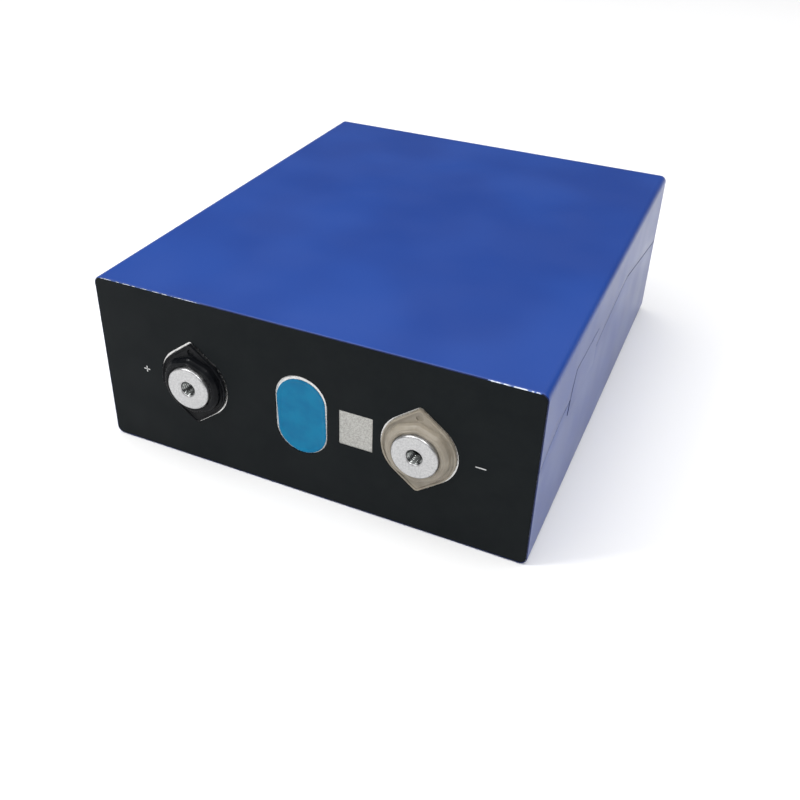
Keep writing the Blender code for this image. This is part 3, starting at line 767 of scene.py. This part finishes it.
def make_post(side, x, materials):
    """Turned terminal: chamfered head, fine turning rings on its face, an M6 thread and a hub."""
    face = FACE_DEPTH
    profile = [
        (0.3 * MM, HUB_END),
        (HUB_R, HUB_END),
        (HUB_R, HEAD_UNDERSIDE),
        (TERMINAL_R, HEAD_UNDERSIDE),
        (TERMINAL_R, face + 0.46 * MM),
        (TERMINAL_R - 0.04 * MM, face + 0.37 * MM),
        (TERMINAL_R - 0.34 * MM, face + 0.05 * MM),
        (TERMINAL_R - 0.42 * MM, face),
    ]
    radius, ridge = TERMINAL_R - 0.60 * MM, True
    while radius > 3.5 * MM:
        profile.append((radius, face + (0.002 * MM if ridge else TURNING_DEPTH)))
        radius -= TURNING_PITCH / 2
        ridge = not ridge
    profile += [(3.42 * MM, face), (3.35 * MM, face + 0.03 * MM), (3.05 * MM, face + 0.32 * MM)]
    rings = [level(circle(radius), depth) for radius, depth in profile]
    first_thread = len(rings)
    rings += thread_rows(face + 0.4 * MM)
    bottom = face + 0.4 * MM + THREAD_LENGTH
    rings += [level(circle(THREAD_CREST), bottom + 0.1 * MM), level(circle(0.2 * MM), bottom + 0.9 * MM)]

    # The thread rows take the darker aluminium with painted shade.
    def slots(row, point):
        return 1 if row >= first_thread else 0

    metals = [materials["turned_aluminium"], materials["thread_painted_shade"]]
    post = loft(side + "_post", rings, metals, centre=(x, MID_Z), sharp=28, slots=slots)
    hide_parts(side + "_terminal")
    return post


def make_collar(side, x, material, slot_name):
    """Moulded frame: a pointed flange with a raised lip, and a boss with a rounded shoulder. The
    boss's (radius, depth) points are in millimetres."""
    lid = LID_METAL_DEPTH - 0.05 * MM
    flange = [
        (0, lid),
        (0, -0.72 * MM),
        (0.08 * MM, -0.90 * MM),
        (0.24 * MM, -1.00 * MM),
        (0.60 * MM, -1.00 * MM),
        (0.74 * MM, -0.93 * MM),
        (0.82 * MM, -0.62 * MM),
        (0.94 * MM, -0.56 * MM),
    ]
    boss = [
        (12.20, -0.56),
        (12.04, -0.62),
        (12.00, -0.80),
        (11.98, -1.90),
        (11.90, -2.12),
        (11.72, -2.34),
        (11.10, -2.96),
        (10.92, -3.10),
        (10.72, -3.14),
        (10.40, -3.14),
        (10.24, -3.18),
        (10.14, -3.30),
        (9.50, -3.30),
        (9.36, -3.22),
        (9.05, -3.16),
        (8.88, -3.04),
        (SEAT_R / MM, -2.80),
        (SEAT_R / MM, -0.85),
        (BORE_R / MM, -0.85),
        (BORE_R / MM, 1.30),
        (7.40, 1.30),
        (7.40, lid / MM),
    ]
    rings = [level(frame_outline(inset), depth) for inset, depth in flange]
    rings += [level(frame_circle(radius * MM), depth * MM) for radius, depth in boss]
    collar = loft(side + "_collar", rings, [material], closed=True, centre=(x, MID_Z), sharp=45)
    cut_dimple(collar, x)
    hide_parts(side + "_frame")
    return collar


def cut_dimple(collar, x):
    """Round gate mark sunk in the flange, near its upper point, cut by a turned shape whose
    (radius, depth) points are in millimetres."""
    profile = [(1.50, -1.5), (1.50, -0.62), (1.32, -0.46), (1.26, -0.10), (1.10, 0.05), (0.3, 0.05)]
    rings = [level(circle(radius * MM, 32), depth * MM) for radius, depth in profile]
    cutter = loft("dimple_cutter", rings, [], centre=(x, MID_Z + DIMPLE_OFFSET))
    step = collar.modifiers.new("dimple", "BOOLEAN")
    step.operation = "DIFFERENCE"
    step.solver = "EXACT"
    step.object = cutter
    evaluated = collar.evaluated_get(bpy.context.evaluated_depsgraph_get())
    cut_mesh = bpy.data.meshes.new_from_object(evaluated)
    cut_mesh.shade_smooth()
    cut_mesh.set_sharp_from_angle(angle=math.radians(30))
    collar.modifiers.clear()
    collar.data = cut_mesh
    bpy.data.objects.remove(cutter)


# Stage.


def make_floor():
    """Plain pale floor."""
    work = bmesh.new()
    reach = 6.0
    corners = [(-reach, -reach), (reach, -reach), (reach, reach), (-reach, reach)]
    work.faces.new([work.verts.new((x, y, -0.0003)) for x, y in corners])
    paint = Surface("floor_paint", roughness=0.9, specular=0.1)
    paint.colours(paint.noise(0.6, 2), (0.90, 0.90, 0.90), (0.92, 0.92, 0.92))
    floor = add_mesh("floor", work, [paint.material])


def make_world():
    """Soft white surroundings with a darker band above a pale horizon."""
    world = bpy.data.worlds.new("studio")
    bpy.context.scene.world = world
    world.use_nodes = True
    nodes, links = world.node_tree.nodes, world.node_tree.links
    place = nodes.new("ShaderNodeTexCoord")
    split = nodes.new("ShaderNodeSeparateXYZ")
    ramp = nodes.new("ShaderNodeValToRGB")
    ramp.color_ramp.elements[0].position = 0.02
    ramp.color_ramp.elements[0].color = (0.62, 0.62, 0.64, 1)
    ramp.color_ramp.elements[1].position = 0.95
    ramp.color_ramp.elements[1].color = (1.0, 1.0, 1.0, 1)
    for position in (0.24, 0.45):
        ramp.color_ramp.elements.new(position).color = (0.07, 0.07, 0.077, 1)
    links.new(place.outputs["Generated"], split.inputs["Vector"])
    links.new(split.outputs["Z"], ramp.inputs["Fac"])
    links.new(ramp.outputs["Color"], nodes["Background"].inputs["Color"])
    nodes["Background"].inputs["Strength"].default_value = 1.1


def make_light(name, place, aim, size, power):
    data = bpy.data.lights.new(name, "AREA")
    data.size = size
    data.energy = power
    light = bpy.data.objects.new(name, data)
    light.location = place
    light.rotation_euler = (Vector(aim) - Vector(place)).to_track_quat("-Z", "Y").to_euler()
    bpy.context.scene.collection.objects.link(light)


def make_camera():
    """Camera at the photograph's angle, with its slight roll and its off-centre framing."""
    azimuth, elevation, roll = math.radians(23.53), math.radians(31.85), math.radians(1.63)
    target, distance = Vector((-0.0048, -0.01461, 0.01765)), 0.40466
    back = Vector((
        math.sin(azimuth) * math.cos(elevation),
        -math.cos(azimuth) * math.cos(elevation),
        math.sin(elevation),
    ))
    right = Vector((0, 0, 1)).cross(back).normalized()
    up = back.cross(right)
    rolled_right = math.cos(roll) * right + math.sin(roll) * up
    rolled_up = -math.sin(roll) * right + math.cos(roll) * up
    data = bpy.data.cameras.new("camera")
    data.lens = 41.18
    data.shift_x = 0.0161
    data.shift_y = -0.0701
    data.clip_start = 0.01
    camera = bpy.data.objects.new("camera", data)
    turn = Matrix((rolled_right, rolled_up, back)).transposed()
    camera.matrix_world = Matrix.Translation(target + back * distance) @ turn.to_4x4()
    bpy.context.scene.collection.objects.link(camera)
    bpy.context.scene.camera = camera


def main():
    materials = make_materials()
    slots = {entry["node"]: entry["material_slot"] for entry in frame["record"]["subparts"]}
    for name, node in frame["nodes"].items():
        for i in range(max(len(node.data.materials), 1)):
            if not node.data.materials:
                node.data.materials.append(None)
            node.material_slots[i].material = materials[slots[name]]

    pieces = [make_wrap(materials), make_patch(materials), make_lid_film(materials)]
    plus = [(PLUS_LENGTH, MARK_STROKE), (MARK_STROKE, PLUS_LENGTH)]
    pieces.append(make_mark("plus_mark", plus, PLUS_X, materials))
    pieces.append(make_mark("minus_mark", [(MINUS_LENGTH, MARK_STROKE)], MINUS_X, materials))
    pieces += [make_vent_sticker(materials), make_vent_rim(materials), make_code_field(materials)]
    sides = (("positive", POSITIVE_X, "black_plastic"), ("negative", NEGATIVE_X, "natural_plastic"))
    for side, x, plastic in sides:
        pieces.append(make_post(side, x, materials))
        pieces.append(make_collar(side, x, materials[plastic], plastic))
    for piece in pieces:
        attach(piece, "root")

    make_floor()
    make_world()
    make_light("overhead", (0.0, 0.1, 1.7), (0, 0, 0), 2.4, 23)
    make_light("key", (-0.55, -0.45, 0.85), (0, 0, 0), 0.22, 4.5)
    make_light("front", (0.37, -0.62, 0.72), (0, -0.1, 0.03), 0.09, 1.6)
    make_camera()
    bpy.context.scene.view_settings.view_transform = "Standard"


main()
